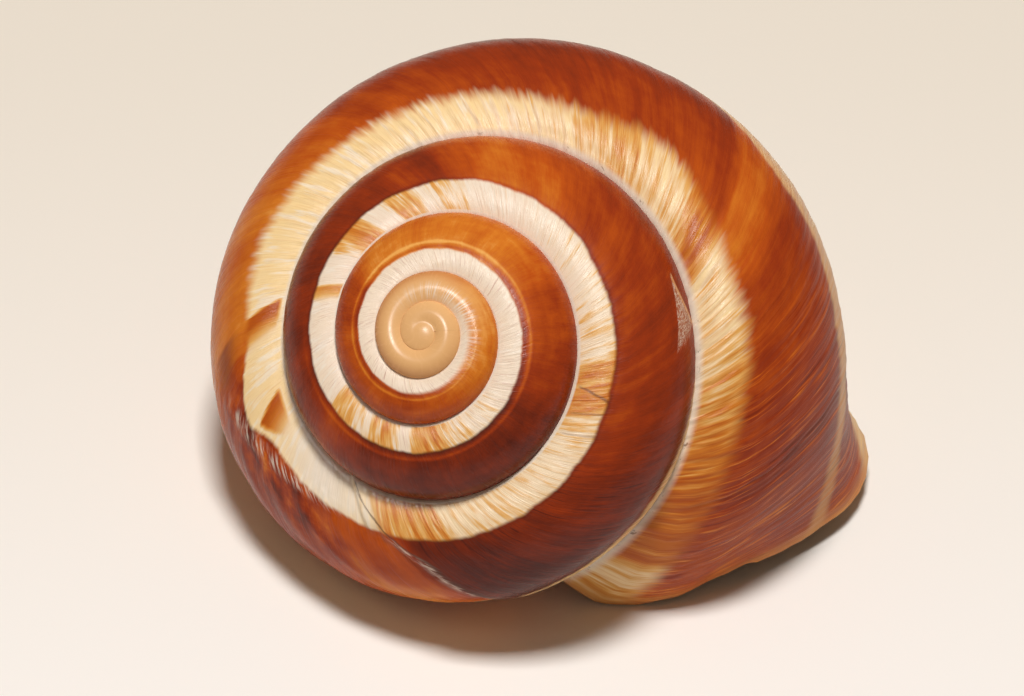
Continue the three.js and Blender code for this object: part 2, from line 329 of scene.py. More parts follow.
@dataclass
class Relief:
    """What stands out of the even wall or is sunk in it, in mm along the wall's outward direction."""

    coil: Coil
    inset: float = 0.03
    line_height: float = 0.012
    line_step: float = 0.42
    slow_height: float = 0.03
    rib_height: float = 0.032
    rib_step: float = 0.3
    broad_rib_step: float = 1.3
    rib_from: float = 4.97
    break_across: tuple[float, ...] = (0, 0.1, 0.13, 0.2, 0.42, 1)
    break_turns: tuple[float, ...] = (4.356, 4.345, 4.326, 4.312, 4.308, 4.3)
    break_depth: float = 0.24
    break_heals: float = 0.3
    late_break_turn: float = 4.975
    late_break_depth: float = 0.07
    scar_turns: tuple[float, ...] = (4.36, 4.4, 4.44, 4.47, 4.5, 4.54)
    scar_across: tuple[float, ...] = (0.09, 0.1, 0.12, 0.15, 0.19, 0.26)
    scar_height: float = 0.16
    fold_height: float = 0.17
    fold_step: float = 1.3
    seam_rise: float = 0.05
    side_swell: float = 0.22
    tip_dome: float = 0.1
    tip_hump: float = 0.13
    tip_growth: float = 1.12
    tip_seam_from: Zone = (0.35, 1.0)
    tip_fades: Zone = (1.4, 2.6)
    first_wrinkle: float = 0.035

    def __post_init__(self) -> None:
        """Makes the ripples."""
        length = float(self.coil.arc_mm[-1])
        self.lines = Ripple(self.line_step, length, 11)
        self.wrinkles = Ripple(0.33, length, 18)
        self.seam_lumps = Ripple(0.5, length, 19)
        self.slow = Ripple(3.1, length, 12)
        self.ribs = Ripple(self.rib_step, length, 13)
        self.broad_ribs = Ripple(self.broad_rib_step, length, 14)
        self.wander = Ripple(0.045, 1.4, 15)
        self.folds = Ripple(self.fold_step, length * 2, 16)
        self.fold_lines = Ripple(0.35, length * 2, 17)

    def break_line(self, across: np.ndarray) -> np.ndarray:
        """Gives the turn at which the healed break runs, across the whorl."""
        return np.interp(across, self.break_across, self.break_turns) + 0.002 * self.wander(across)

    def healed(self, growth: np.ndarray, across: np.ndarray) -> np.ndarray:
        """Gives the height of the healed break, its scar and the folds behind it."""
        after = growth - self.break_line(across)
        sunk = smoothstep(after, -0.001, 0.004) * (1 - smoothstep(after, 0.03, self.break_heals))
        height = -self.break_depth * sunk * (1 - smoothstep(across, 0.5, 0.7))
        height = height - 0.12 * bump(growth, 4.45, 0.09) * bump(across, 0.27, 0.16)
        path = np.interp(growth, self.scar_turns, self.scar_across)
        on_scar = smoothstep(growth, 4.35, 4.385) * (1 - smoothstep(growth, 4.5, 4.56))
        arc = self.coil.arc(growth)
        comb = 0.55 + 0.45 * self.fold_lines(arc + 28 * across)
        height = height + self.scar_height * on_scar * comb * bump(across, path + 0.012, 0.035)
        wrinkled = smoothstep(growth, 4.33, 4.4) * (1 - smoothstep(growth, 4.5, 4.62))
        wrinkled = wrinkled * smoothstep(across, path + 0.01, path + 0.05)
        wrinkled = wrinkled * (1 - smoothstep(across, 0.4, 0.55))
        lumps = self.folds(arc + 26 * across) * (0.6 + 0.4 * self.fold_lines(90 * across - 0.4 * arc))
        return height + self.fold_height * wrinkled * lumps

    def __call__(self, growth: np.ndarray, across: np.ndarray) -> np.ndarray:
        """Gives the height of the relief.

        Args:
            growth: Turns from the tip.
            across: Share of the way across the whorl.

        Returns:
            Heights in mm, below zero where the surface is sunk.
        """
        arc = self.coil.arc(growth) + 0.3 * self.wander(across) + 1.5 * across
        early = smoothstep(growth, 1.8, 3.2)
        top = 1 - smoothstep(across, 0.55, 0.9)
        height = self.line_height * early * self.lines(arc) + self.tip(growth, across)
        near_seam = (1 - smoothstep(across, 0.08, 0.22)) * smoothstep(growth, 4.45, 4.7)
        height = height + self.first_wrinkle * near_seam * self.wrinkles(arc - 12 * across)
        height = height + self.slow_height * smoothstep(growth, 3.5, 4.6) * self.slow(arc) * top
        late = smoothstep(growth, self.rib_from, self.rib_from + 0.1)
        late = late * (0.35 + 0.65 * smoothstep(across, 0.0, 0.16)) * (1 - 0.5 * smoothstep(across, 0.7, 0.9))
        height = height + self.rib_height * late * (self.ribs(arc) + 0.8 * self.broad_ribs(arc))
        height = height + self.healed(growth, across)
        groove = np.exp(-(((growth - self.late_break_turn - 0.12 * across) / 0.003) ** 2))
        height = height - self.late_break_depth * groove * bump(across, 0.1, 0.35)
        height = height + self.side_swell * bump(growth, 5.04, 0.13) * bump(across, 0.46, 0.22)
        seam = bump(across, 0.014, 0.016) * (0.6 + 0.4 * self.seam_lumps(arc))
        height = height + self.seam_rise * seam * smoothstep(growth, 3.6, 4.7)
        return height - self.inset * smoothstep(growth, 1, 2)

    def tip(self, growth: np.ndarray, across: np.ndarray) -> np.ndarray:
        """Gives the rounding of the first whorls, whose seam fades in from the middle of the tip."""
        coil = self.coil
        radius = coil.even(growth, across)[0]
        wide = coil.widest(growth)
        first = coil.widest(np.zeros_like(growth)) * np.exp(self.tip_growth * (growth - 1))
        inner = np.where(growth > 1, coil.widest(growth - 1), first)
        one = self.tip_dome * np.cos(math.pi / 2 * np.clip(radius / wide, 0, 1))
        dome = self.tip_dome * np.cos(math.pi / 2 * np.clip(radius / inner, 0, 1))
        outwards = (radius - inner) / (wide - inner)
        hump = self.tip_hump * (wide - inner) * np.sin(math.pi * np.clip(outwards, 0, 1))
        two = np.where(radius < inner, dome, hump)
        seamed = smoothstep(growth, *self.tip_seam_from)
        fades = 1 - smoothstep(growth, *self.tip_fades)
        above = across <= coil.across_widest
        single = coil.drop(wide) * (1 - self.arch(radius / wide))
        middle = coil.drop(inner) * (1 - self.arch(radius / inner))
        rest = coil.drop(wide) + (coil.drop(inner) - coil.drop(wide)) * self.arch(outwards)
        settled = np.where(growth < 1, np.where(radius < inner, middle, rest) - single, 0) * seamed
        return np.where(above, (one * (1 - seamed) + two * seamed) * fades + settled, 0)

    def arch(self, share: np.ndarray) -> np.ndarray:
        """Gives the fall of a whorl's top at a share of its width, from 1 at its seam to 0."""
        start = self.coil.shoulder_start
        lean = math.sin(start) + (1 - math.sin(start)) * np.clip(share, 0, 1)
        return np.sqrt(np.maximum(1 - lean**2, 0)) / math.cos(start)


@dataclass
class LipEdge:
    """The broken edge of the lip: how far it stands back, in mm, at places across the whorl."""

    across: Row = (0, 0.1, 0.145, 0.155, 0.2, 0.3, 0.33, 0.345, 0.36, 0.42, 0.47, 0.485, 0.6, 0.8, 1)
    back: Row = (0, 0.05, 0.1, 0.5, 0.4, 0.35, 0.5, 0.75, 0.15, 0.1, 0.15, 0.45, 0.2, 0.1, 0)
    fray: float = 0.09
    reach_turns: float = 0.11
    mm_per_turn: float = 150.0

    def cut(self, growth: np.ndarray, across: np.ndarray, lip_turn: float) -> np.ndarray:
        """Gives the turn that a row of the mesh really lies at, where the edge is broken back."""
        fray = Ripple(0.006, 1.2, 21)(across) * self.fray * (1 - smoothstep(across, 0.75, 0.9))
        depth = (np.interp(across, self.across, self.back) + fray) / self.mm_per_turn
        return growth - np.maximum(depth, 0) * smoothstep(growth, lip_turn - self.reach_turns, lip_turn)


def srgb(red: int, green: int, blue: int) -> tuple[float, float, float, float]:
    """Gives a linear colour with alpha from red, green and blue of 0 to 255."""
    def linear(value: int) -> float:
        """Takes one part of the colour to linear light."""
        share = value / 255
        return share / 12.92 if share <= 0.04045 else ((share + 0.055) / 1.055) ** 2.4
    return linear(red), linear(green), linear(blue), 1.0


class Val:
    """A socket with a number on it. Arithmetic on it adds Math nodes."""

    def __init__(self, graph: "Graph", socket: bpy.types.NodeSocket) -> None:
        """Wraps a socket of a graph."""
        self.graph = graph
        self.socket = socket

    def math(self, operation: str, *others: "Val | float", clamp: bool = False) -> "Val":
        """Adds a Math node with this value first."""
        settings = {"operation": operation, "use_clamp": clamp}
        sockets = {i: v for i, v in enumerate((self, *others))}
        return self.graph.value("ShaderNodeMath", settings, sockets)

    def __add__(self, other: "Val | float") -> "Val":
        """Adds."""
        return self.math("ADD", other)

    __radd__ = __add__

    def __sub__(self, other: "Val | float") -> "Val":
        """Subtracts."""
        return self.math("SUBTRACT", other)

    def __rsub__(self, other: float) -> "Val":
        """Subtracts this from a number."""
        return self * -1 + other

    def __mul__(self, other: "Val | float") -> "Val":
        """Multiplies."""
        return self.math("MULTIPLY", other)

    __rmul__ = __mul__

    def __truediv__(self, other: "Val | float") -> "Val":
        """Divides."""
        return self.math("DIVIDE", other)

    def __pow__(self, other: "Val | float") -> "Val":
        """Raises to a power."""
        return self.math("POWER", other)

    def at_most(self, other: "Val | float") -> "Val":
        """Gives the smaller of two values."""
        return self.math("MINIMUM", other)

    def at_least(self, other: "Val | float") -> "Val":
        """Gives the larger of two values."""
        return self.math("MAXIMUM", other)

    def size(self) -> "Val":
        """Drops the sign."""
        return self.math("ABSOLUTE")

    def clamped(self) -> "Val":
        """Keeps the value between 0 and 1."""
        return self.math("ADD", 0.0, clamp=True)

    def step(self, low: "Val | float", high: "Val | float") -> "Val":
        """Gives the smooth step from 0 at low to 1 at high."""
        settings = {"interpolation_type": "SMOOTHSTEP"}
        sockets = {"Value": self, "From Min": low, "From Max": high}
        return self.graph.value("ShaderNodeMapRange", settings, sockets)

    def off(self, low: "Val | float", high: "Val | float") -> "Val":
        """Gives the smooth step from 1 at low to 0 at high."""
        return 1 - self.step(low, high)

    def between(self, rise: Zone, fall: Zone) -> "Val":
        """Gives 1 between two zones, with smooth steps from 0 and back to 0 in them."""
        return self.step(*rise) * self.off(*fall)

    def hill(self, middle: "Val | float", half_width: "Val | float") -> "Val":
        """Gives a smooth hill, 1 at its middle and 0 from half_width away on."""
        return (self - middle).size().off(0.0, half_width)

    def swing(self, amount: "Val | float") -> "Val":
        """Takes noise with its mean at a half to a swing round 0."""
        return (self - 0.5) * amount


class Graph:
    """The nodes of one material."""

    def __init__(self, name: str) -> None:
        """Starts a material with an empty graph."""
        self.material = bpy.data.materials.new(name)
        self.material.use_nodes = True
        self.tree = self.material.node_tree
        self.tree.nodes.clear()

    def node(self, kind: str, settings: dict | None = None, sockets: dict | None = None) -> bpy.types.Node:
        """Adds a node.

        Args:
            kind: The node's type.
            settings: Its properties, set first. "stops" holds a ramp's stops.
            sockets: Values or links of its inputs, by name or number.

        Returns:
            The node.
        """
        made = self.tree.nodes.new(kind)
        for name, value in (settings or {}).items():
            if name == "stops":
                self.set_stops(made.color_ramp, value)
            else:
                setattr(made, name, value)
        for name, value in (sockets or {}).items():
            socket = made.inputs[name]
            if isinstance(value, Val):
                value = value.socket
            if isinstance(value, bpy.types.NodeSocket):
                self.tree.links.new(value, socket)
            else:
                socket.default_value = value
        return made

    @staticmethod
    def set_stops(ramp: bpy.types.ColorRamp, stops: list[tuple]) -> None:
        """Sets the stops of a ramp: a place and a grey value or a colour each."""
        while len(ramp.elements) > 1:
            ramp.elements.remove(ramp.elements[-1])
        for i, (place, value) in enumerate(stops):
            element = ramp.elements[0] if i == 0 else ramp.elements.new(place)
            element.position = place
            element.color = value if isinstance(value, tuple) else (value, value, value, 1)

    def value(self, kind: str, settings: dict | None = None, sockets: dict | None = None) -> Val:
        """Adds a node and gives its first output as a value."""
        return Val(self, self.node(kind, settings, sockets).outputs[0])

    def attribute(self, name: str) -> Val:
        """Reads a number that the mesh carries."""
        made = self.node("ShaderNodeAttribute", {"attribute_name": name})
        return Val(self, made.outputs["Fac"])

    def noise(self, vector: Layer, scale: float, detail: float, rough: float) -> Val:
        """Adds noise, from 0 to 1 with its mean at a half."""
        sockets = {"Vector": vector, "Scale": scale, "Detail": detail, "Roughness": rough}
        return self.value("ShaderNodeTexNoise", {"noise_dimensions": "3D"}, sockets)

    def grain(self, x: Val, y: Val, detail: float = 3.0, rough: float = 0.6) -> Val:
        """Adds noise over a flat place."""
        place = self.node("ShaderNodeCombineXYZ", None, {0: x, 1: y}).outputs[0]
        return self.noise(place, 1.0, detail, rough)

    def curve(self, x: Val, points: tuple[tuple[float, float], ...]) -> Val:
        """Gives a value that changes along x, from pairs of x and value."""
        low, high = points[0][0], points[-1][0]
        stops = [((place - low) / (high - low), value) for place, value in points]
        return self.value("ShaderNodeValToRGB", {"stops": stops}, {"Fac": (x - low) / (high - low)})

    def tones(self, x: Val, stops: tuple[tuple[float, Colour], ...]) -> Layer:
        """Gives a colour from a ramp over 0 to 1."""
        return self.node("ShaderNodeValToRGB", {"stops": list(stops)}, {"Fac": x}).outputs[0]

    def mix(self, a: "Layer | Colour", b: "Layer | Colour", share: Val | float) -> Layer:
        """Mixes two colours."""
        made = self.node("ShaderNodeMix", {"data_type": "RGBA"}, {"Factor": share, 6: a, 7: b})
        return made.outputs[2]

    def finish(self, surface: dict) -> bpy.types.Material:
        """Adds the shader with the values of its sockets, and gives the material."""
        shader = self.node("ShaderNodeBsdfPrincipled", None, surface)
        self.node("ShaderNodeOutputMaterial", None, {"Surface": shader.outputs[0]})
        return self.material


class Growth(Enum):
    """Numbers that the mesh carries along the coil, for the finish to read."""

    TURN = "growth"
    ACROSS = "across"
    ARC = "arc"
    INSIDE = "inside"


class Ground:
    """What every layer of the finish lies on: the place on the shell and the grain of its growth."""

    def __init__(self, graph: Graph, slant_along: tuple[Zone, ...], slant_mm: float) -> None:
        """Reads the place and spreads the grain, most of it along the slanting growth lines."""
        self.graph = graph
        self.turn, self.across, self.arc, self.inside = (graph.attribute(kind.value) for kind in Growth)
        slant = (graph.curve(self.turn, slant_along) - 0.5) * slant_mm
        line = self.arc - slant * self.across.at_most(0.15)
        self.medium = graph.grain(line * 1.7, self.across * 9, 2.0, 0.55)
        self.fine = graph.grain(line * 3.6, self.across * 5)
        self.hair = graph.grain(line * 11, self.across * 7)
        self.broad = graph.grain(line * 0.5, self.across * 2.2, 2.0, 0.5)
        self.cloud = graph.grain(self.arc * 0.5, self.across * 16, 4.0)
        self.comb = graph.grain(self.arc * 2.6 + self.across * 60, self.across * 22)
        self.grown = self.turn.step(1.75, 2.05)
        self.late = self.turn.step(5.0, 5.1)

    def paint(self, colour: "Layer | Colour", *coats: tuple) -> Layer:
        """Lays coats over a colour, each a colour and its share."""
        for coat, share in coats:
            colour = self.graph.mix(colour, coat, share)
        return colour


@dataclass(frozen=True)
class BandedFinish:
    """The banded brown and cream finish, laid out along the growth lines.

    Places along the growth are in turns from the tip, those across in shares of the whorl. The tables
    ending in along give values at turns. A fleck is its first and last turn, its reach across at both
    and its strength. A cross crack is its turn, drift, half width and strength, and a bulge of the
    band its turn, half width and how much wider the band is there.
    """

    cream: tuple = srgb(252, 218, 158)
    pale_cream: tuple = srgb(244, 226, 208)
    white: tuple = srgb(250, 240, 226)
    amber: tuple = srgb(208, 116, 32)
    pink_line: tuple = srgb(196, 150, 132)
    bare_tip: tuple = srgb(232, 180, 122)
    tip_shade: tuple = srgb(198, 122, 62)
    chalk: tuple = srgb(240, 226, 208)
    dusk: tuple = srgb(84, 52, 40)
    tan: tuple = srgb(222, 160, 98)
    worn_brown: tuple = srgb(178, 116, 88)
    crack_brown: tuple = srgb(128, 78, 46)
    brown_tones: tuple = (
        (0.0, srgb(240, 172, 88)),
        (0.2, srgb(214, 122, 38)),
        (0.42, srgb(188, 82, 22)),
        (0.64, srgb(152, 54, 20)),
        (0.84, srgb(116, 42, 22)),
        (1.0, srgb(86, 34, 24)),
    )
    lining: tuple = srgb(214, 176, 150)
    band_edge: float = 0.11
    tone_along: tuple = (
        (0.0, 0.0), (1.75, 0.05), (1.95, 0.16), (2.1, 0.24), (2.2, 0.4), (2.34, 0.5), (2.55, 0.56),
        (2.61, 0.52), (2.63, 0.2), (2.86, 0.26), (2.95, 0.46), (3.06, 0.64), (3.16, 0.84), (3.36, 0.84),
        (3.4, 0.62), (3.48, 0.78), (3.62, 0.8), (3.79, 0.7), (3.806, 0.34), (3.9, 0.42), (3.97, 0.64),
        (4.12, 0.68), (4.28, 0.92), (4.31, 0.92), (4.33, 0.45), (4.42, 0.58), (4.5, 0.6), (4.55, 0.24),
        (4.64, 0.32), (4.74, 0.56), (5.2, 0.66),
    )
    late_tone_along: tuple = (
        (4.7, 0.0), (4.8, 0.1), (4.88, 0.08), (4.93, 0.0), (4.962, 0.02), (4.972, -0.3), (4.995, -0.22),
        (5.01, 0.0), (5.07, 0.0), (5.12, 0.02), (5.16, -0.06), (5.185, -0.12), (5.2, -0.35),
    )
    amber_along: tuple = (
        (1.9, 0.2), (2.2, 0.05), (3.05, 0.1), (3.15, 0.35), (3.22, 0.5), (3.245, 0.85), (3.285, 0.75),
        (3.298, 0.0), (3.31, 0.7), (3.355, 0.75), (3.367, 0.1), (3.385, 0.7), (3.42, 0.8), (3.435, 0.1),
        (3.565, 0.05), (3.575, 0.95), (3.588, 0.1), (3.62, 0.1), (3.635, 0.85), (3.67, 0.85), (3.682, 0.0),
        (3.7, 0.1), (3.71, 0.75), (3.735, 0.7), (3.745, 0.1), (3.765, 0.65), (3.79, 0.5), (3.805, 0.05),
        (4.03, 0.12), (4.05, 0.6), (4.09, 0.6),
    )
    late_amber_along: tuple = (
        (4.09, 0.5), (4.1, 0.3), (4.16, 0.2), (4.2, 0.4), (4.265, 0.45), (4.28, 0.85), (4.33, 0.85),
        (4.343, 0.05), (4.41, 0.05), (4.56, 0.05), (4.72, 0.12), (4.8, 0.3), (4.86, 0.55), (4.88, 0.85),
        (4.905, 0.5), (4.93, 0.5), (4.955, 1.1), (4.967, 1.0), (4.975, 0.35), (5.02, 0.55), (5.045, 0.8),
        (5.075, 0.9),
        (5.09, 1.1), (5.155, 1.2), (5.165, 0.55), (5.185, 0.6), (5.2, 0.9),
    )
    slant_along: tuple = (
        (1.6, 0.4), (3.1, 0.38), (3.5, 0.47), (3.8, 0.5), (4.05, 0.62), (4.2, 0.53), (4.4, 0.58), (4.6, 0.66),
        (4.85, 0.6), (5.0, 0.58), (5.2, 0.56),
    )
    amber_tones: tuple = (
        (0.0, srgb(250, 234, 206)),
        (0.45, srgb(232, 176, 98)),
        (0.75, srgb(212, 128, 46)),
        (1.0, srgb(184, 86, 22)),
    )
    slant_mm: float = 75.0
    flecks: tuple[Row, ...] = (
        (4.42, 4.471, 0.035, 0.125, 1.0),
        (4.507, 4.545, 0.02, 0.3, 1.1),
        (3.545, 3.58, 0.0, 0.2, 0.7),
        (3.62, 3.66, 0.0, 0.2, 0.8),
        (5.075, 5.145, 0.02, 0.2, 0.9),
    )
    cross_cracks: tuple[Row, ...] = (
        (4.056, 0.28, 0.0024, 0.8), (4.088, 0.1, 0.002, 0.5), (4.11, 0.08, 0.0024, 0.45),
    )
    band_bulges: tuple[Row, ...] = (
        (4.49, 0.045, 0.05), (4.92, 0.07, 0.035), (4.62, 0.1, 0.018), (5.03, 0.05, 0.015),
    )
    amber_change: Zone = (4.089, 4.091)
    pink_ends: Zone = (3.1, 4.0)
    rim_across: float = 0.448
    scar_turn: float = 4.37
    break_turn: float = 4.309
    worn_turn: float = 4.03
    worn_length: float = 0.048
    lip_edge: Zone = (5.186, 5.199)
    roughness: float = 0.26
    bump_metres: float = 0.00006
    refraction: float = 1.45
    gloss: float = 0.24

    def amber_share(self, on: Ground) -> Val:
        """Gives how amber the band is: uneven columns, and flecks that end on a sharp growth line."""
        turn, across, fine = on.turn, on.across, on.fine
        streaked = turn + on.medium.swing(0.012)
        early = on.graph.curve(streaked, self.amber_along)
        late = on.graph.curve(streaked, self.late_amber_along)
        share = early + (late - early) * turn.step(*self.amber_change)
        share = share + fine.swing(0.9) + on.hair.swing(0.4) + on.medium.swing(1.2)
        share = share + turn.step(3.0, 3.2) * 0.08 + turn.hill(4.04, 0.28) * 0.3
        share = share.step(0.1, 1.5)
        place = turn + fine.swing(0.006)
        for start, end, low, high, strength in self.flecks:
            along = place.step(start, end) ** 1.6 * place.off(end, end + 0.005)
            reach = ((place - start) / (end - start)).clamped() * (high - low) + low
            span = across.step(low - 0.01, low + 0.012) * (across - reach).off(-0.01, 0.012)
            share = share.at_least(along * span * strength)
        return share

    def cream_band(self, on: Ground) -> Layer:
        """Gives the cream band under the seam, with its amber, fine lines and cross cracks."""
        turn, across = on.turn, on.across
        amber = self.amber_share(on)
        lines = on.hair.step(0.56, 0.68) * 0.4 + on.fine.step(0.6, 0.72) * 0.35
        later = turn.step(*self.pink_ends)
        colour = on.paint(
            self.pale_cream,
            (self.cream, turn.step(3.8, 4.6) * 0.8 + on.cloud * 0.3),
            (self.white, on.medium.step(0.5, 0.66) * 0.6 * turn.step(2.8, 3.2)),
            (self.pink_line, lines * (1 - later) * 1.5),
            (self.amber, lines * later * 0.6),
            (on.graph.tones(amber, self.amber_tones), amber.step(0.0, 0.4)),
            (self.dusk, on.hair.step(0.64, 0.72) * turn.hill(4.06, 0.32) * 0.4),
        )
        for start, drift, half_width, strength in self.cross_cracks:
            away = (turn - start - across * drift + on.medium.swing(0.004)).size()
            crack = away.off(0.0, half_width) * across.step(0.01, 0.03) * strength
            colour = on.paint(colour, (self.crack_brown, crack))
        wound = turn.hill(4.39, 0.075) * across.off(0.08, 0.14)
        return on.paint(colour, (self.chalk, wound * 0.9))

    def brown(self, on: Ground) -> Layer:
        """Gives the brown, with its tones along the growth and its fine lines."""
        turn, across, fine, hair = on.turn, on.across, on.fine, on.hair
        lifted = tuple((place, value + 0.5) for place, value in self.late_tone_along)
        tone = on.graph.curve(turn, self.tone_along) + (on.graph.curve(turn, lifted) - 0.5)
        slope = (across - 0.24) * (0.35 + turn.hill(4.8, 0.25) * 0.5)
        dark_lines = turn.between((4.1, 4.18), (4.3, 4.31)) + on.late
        tone = tone + slope + on.broad.swing(0.4) + on.cloud.swing(0.34) + on.medium.swing(0.2)
        tone = tone + fine.swing(0.12 + dark_lines * 0.3) + hair.swing(0.1 + dark_lines * 0.2)
        tone = tone - (fine.step(0.52, 0.66) * 0.42 + hair.step(0.55, 0.68) * 0.3) * on.late
        tone = tone + fine.off(0.34, 0.42) * dark_lines * 0.25
        mottled = turn.between((4.36, 4.42), (4.48, 4.54)) * across.hill(0.18, 0.13)
        tone = tone + mottled * (0.1 + on.cloud.swing(1.6))
        tone = tone - turn.hill(4.355, 0.05) * across.step(0.22, 0.34) * 0.35
        pale_line = across.hill(0.138 + on.cloud.swing(0.01), 0.014)
        tone = tone - pale_line * turn.between((1.95, 2.3), (3.35, 3.6)) * 0.22
        tone = tone + across.hill(0.113, 0.014) * turn.between((2.1, 2.4), (4.1, 4.3)) * 0.16
        return on.graph.tones(tone.clamped(), self.brown_tones)

    def beyond_band(self, on: Ground) -> Val:
        """Gives 0 in the band under the seam and 1 beyond its uneven edge."""
        turn = on.turn
        edge = self.band_edge - turn.off(1.9, 2.5) * 0.035 + on.broad.swing(0.02)
        edge = edge + on.medium.swing(0.008 + turn.step(4.4, 4.7) * 0.05)
        edge = edge - turn.between((2.2, 2.4), (2.9, 3.3)) * 0.01
        for middle, half_width, wider in self.band_bulges:
            edge = edge + turn.hill(middle, half_width) * wider
        soft = 0.007 + turn.step(4.5, 4.6) * 0.016 + turn.off(2.0, 2.4) * 0.03
        return (on.across - edge).step(-1 * soft, soft)

    def side(self, on: Ground, colour: Layer) -> Layer:
        """Adds the dark end of the large fleck, the pale line round the side and the pale base."""
        turn, across, fine = on.turn, on.across, on.fine
        deep_fleck = turn.between((4.51, 4.53), (4.545, 4.55)) * across.hill(0.2, 0.07)
        place = self.rim_across + on.broad.swing(0.02) - turn.hill(4.99, 0.05) * 0.04
        place = place + turn.step(5.02, 5.2) * 0.03
        half = 0.018 + on.medium.swing(0.014) + turn.hill(5.03, 0.12) * 0.028
        rim = (across - place).size().off(half - 0.012, half + 0.01)
        rim = rim * (1 - turn.step(5.1, 5.18) * 0.25) * (1 - fine.off(0.36, 0.46) * on.late * 0.5)
        tanned = (fine + turn.step(4.3, 5.1) * 0.25).step(0.4, 0.9)
        base = across.step(0.6 + on.medium.swing(0.04), 0.65 + on.medium.swing(0.04))
        base_tan = fine.step(0.4, 0.7) * 0.5 + on.broad * 0.3
        return on.paint(
            colour,
            (self.brown_tones[4][1], deep_fleck * 0.7),
            (on.graph.mix(self.cream, self.tan, tanned), rim * 0.85),
            (on.graph.mix(self.cream, self.tan, base_tan), base * 0.85),
        )

    def scar(self, on: Ground) -> Val:
        """Gives the share of the scar that bends away from the healed break."""
        path = 0.09 + (on.turn - self.scar_turn).at_least(0.0) ** 1.6 * 2.6
        near = (on.across - path - 0.01).size().off(0.0, 0.028)
        return near * on.turn.between((4.36, 4.39), (4.49, 4.53))

    def healed(self, on: Ground, colour: Layer, scar: Val) -> Layer:
        """Adds the comb-like scar, and the chalky deposit and dark line of the healed break."""
        across, comb = on.across, on.comb
        line = self.break_turn + across.off(0.095, 0.2) * 0.02 + across.off(0.0, 0.13) * 0.024
        after = on.turn - line + comb.swing(0.008)
        deposit = after.hill(0.004, 0.008) * across.step(0.1, 0.16) * comb.step(0.42, 0.6)
        dark_line = after.hill(-0.0015, 0.0025) * across.off(0.38, 0.45)
        return on.paint(
            colour,
            (self.chalk, scar * comb.step(0.46, 0.62) * (0.3 + on.cloud * 0.8)),
            (self.chalk, deposit * 0.7),
            (self.dusk, dark_line * 0.75),
        )

    def worn_patch(self, on: Ground, colour: Layer) -> Layer:
        """Adds the crackled patch with three corners, worn next to the seam."""
        turn, across = on.turn, on.across
        grows = ((turn - self.worn_turn) / self.worn_length).clamped()
        foot = grows ** 1.5 * 0.075 + 0.352
        head = 0.345 - grows * 0.03
        worn = (across - head).step(-0.004, 0.004) * (across - foot).off(-0.003, 0.003)
        worn = worn * turn.step(4.029, 4.033) * (turn + on.comb.swing(0.02)).off(4.072, 4.081)
        crackled = (on.graph.grain(on.arc * 5, across * 70) - 0.5).size().off(0.01, 0.05)
        return on.paint(
            colour,
            (self.worn_brown, worn * (0.6 + on.comb.step(0.4, 0.6) * 0.3)),
            (self.chalk, worn * crackled * 0.6),
            (self.tan, worn * (foot - across).off(0.0, 0.014) * 0.8),
        )

    def first_whorls(self, on: Ground, colour: Layer) -> Layer:
        """Puts the smooth peach tip before the grown colour, with pale wisps where it ends."""
        turn, across = on.turn, on.across
        shade = across.step(0.12, 0.34) * turn.step(0.8, 1.7) * 0.85
        wisps = turn.hill(1.88, 0.3) * across.hill(0.09, 0.12)
        wisps = wisps * on.graph.grain(on.arc * 7, across * 2, 2.0, 0.5).step(0.46, 0.58)
        peach = on.graph.mix(self.bare_tip, self.tip_shade, shade)
        return on.paint(peach, (colour, on.grown), (self.pale_cream, wisps * 0.8))

    def ends(self, on: Ground, colour: Layer, seam: Val) -> Layer:
        """Adds the lumpy pale seam with its dirt, the tan edge of the lip and the lining."""
        turn = on.turn
        lumps = on.graph.grain(on.arc * 1.5, on.across * 60).step(0.6, 0.7)
        pale_seam = on.graph.mix(self.chalk, self.dusk, lumps * turn.step(4.5, 5.0) * 0.7)
        edge = (turn + on.fine.swing(0.012)).step(*self.lip_edge)
        colour = on.paint(
            colour,
            (pale_seam, seam * turn.step(2.2, 3.2) * 0.9),
            (self.tan, edge * (0.35 + on.cloud * 0.5)),
        )
        return on.paint(colour, (on.graph.mix(colour, self.lining, 0.72), on.inside))

    def make(self) -> bpy.types.Material:
        """Builds the material, layer by layer."""
        on = Ground(Graph("banded_shell"), self.slant_along, self.slant_mm)
        beyond = self.beyond_band(on)
        scar = self.scar(on)
        seam = on.across.off(0.006, 0.012 + on.turn.step(4.2, 4.9) * 0.014)
        colour = on.graph.mix(self.cream_band(on), self.brown(on), beyond)
        colour = self.side(on, colour)
        colour = self.healed(on, colour, scar)
        colour = self.worn_patch(on, colour)
        colour = self.first_whorls(on, colour)
        colour = self.ends(on, colour, seam)
        roughness = self.roughness + on.fine.swing(0.2) + seam * 0.3 + scar * 0.2 + on.late * 0.1
        height = on.medium * 0.5 + on.fine * 0.6 + on.hair * 0.5
        height = height * (1 - beyond * (1 - on.late) * 0.5) * (0.04 + on.grown * 0.96)
        sockets = {"Strength": 0.8, "Distance": self.bump_metres, "Height": height}
        return on.graph.finish({
            "Base Color": colour,
            "Roughness": roughness,
            "Normal": on.graph.node("ShaderNodeBump", None, sockets).outputs[0],
            "IOR": self.refraction,
            "Specular IOR Level": self.gloss,
        })


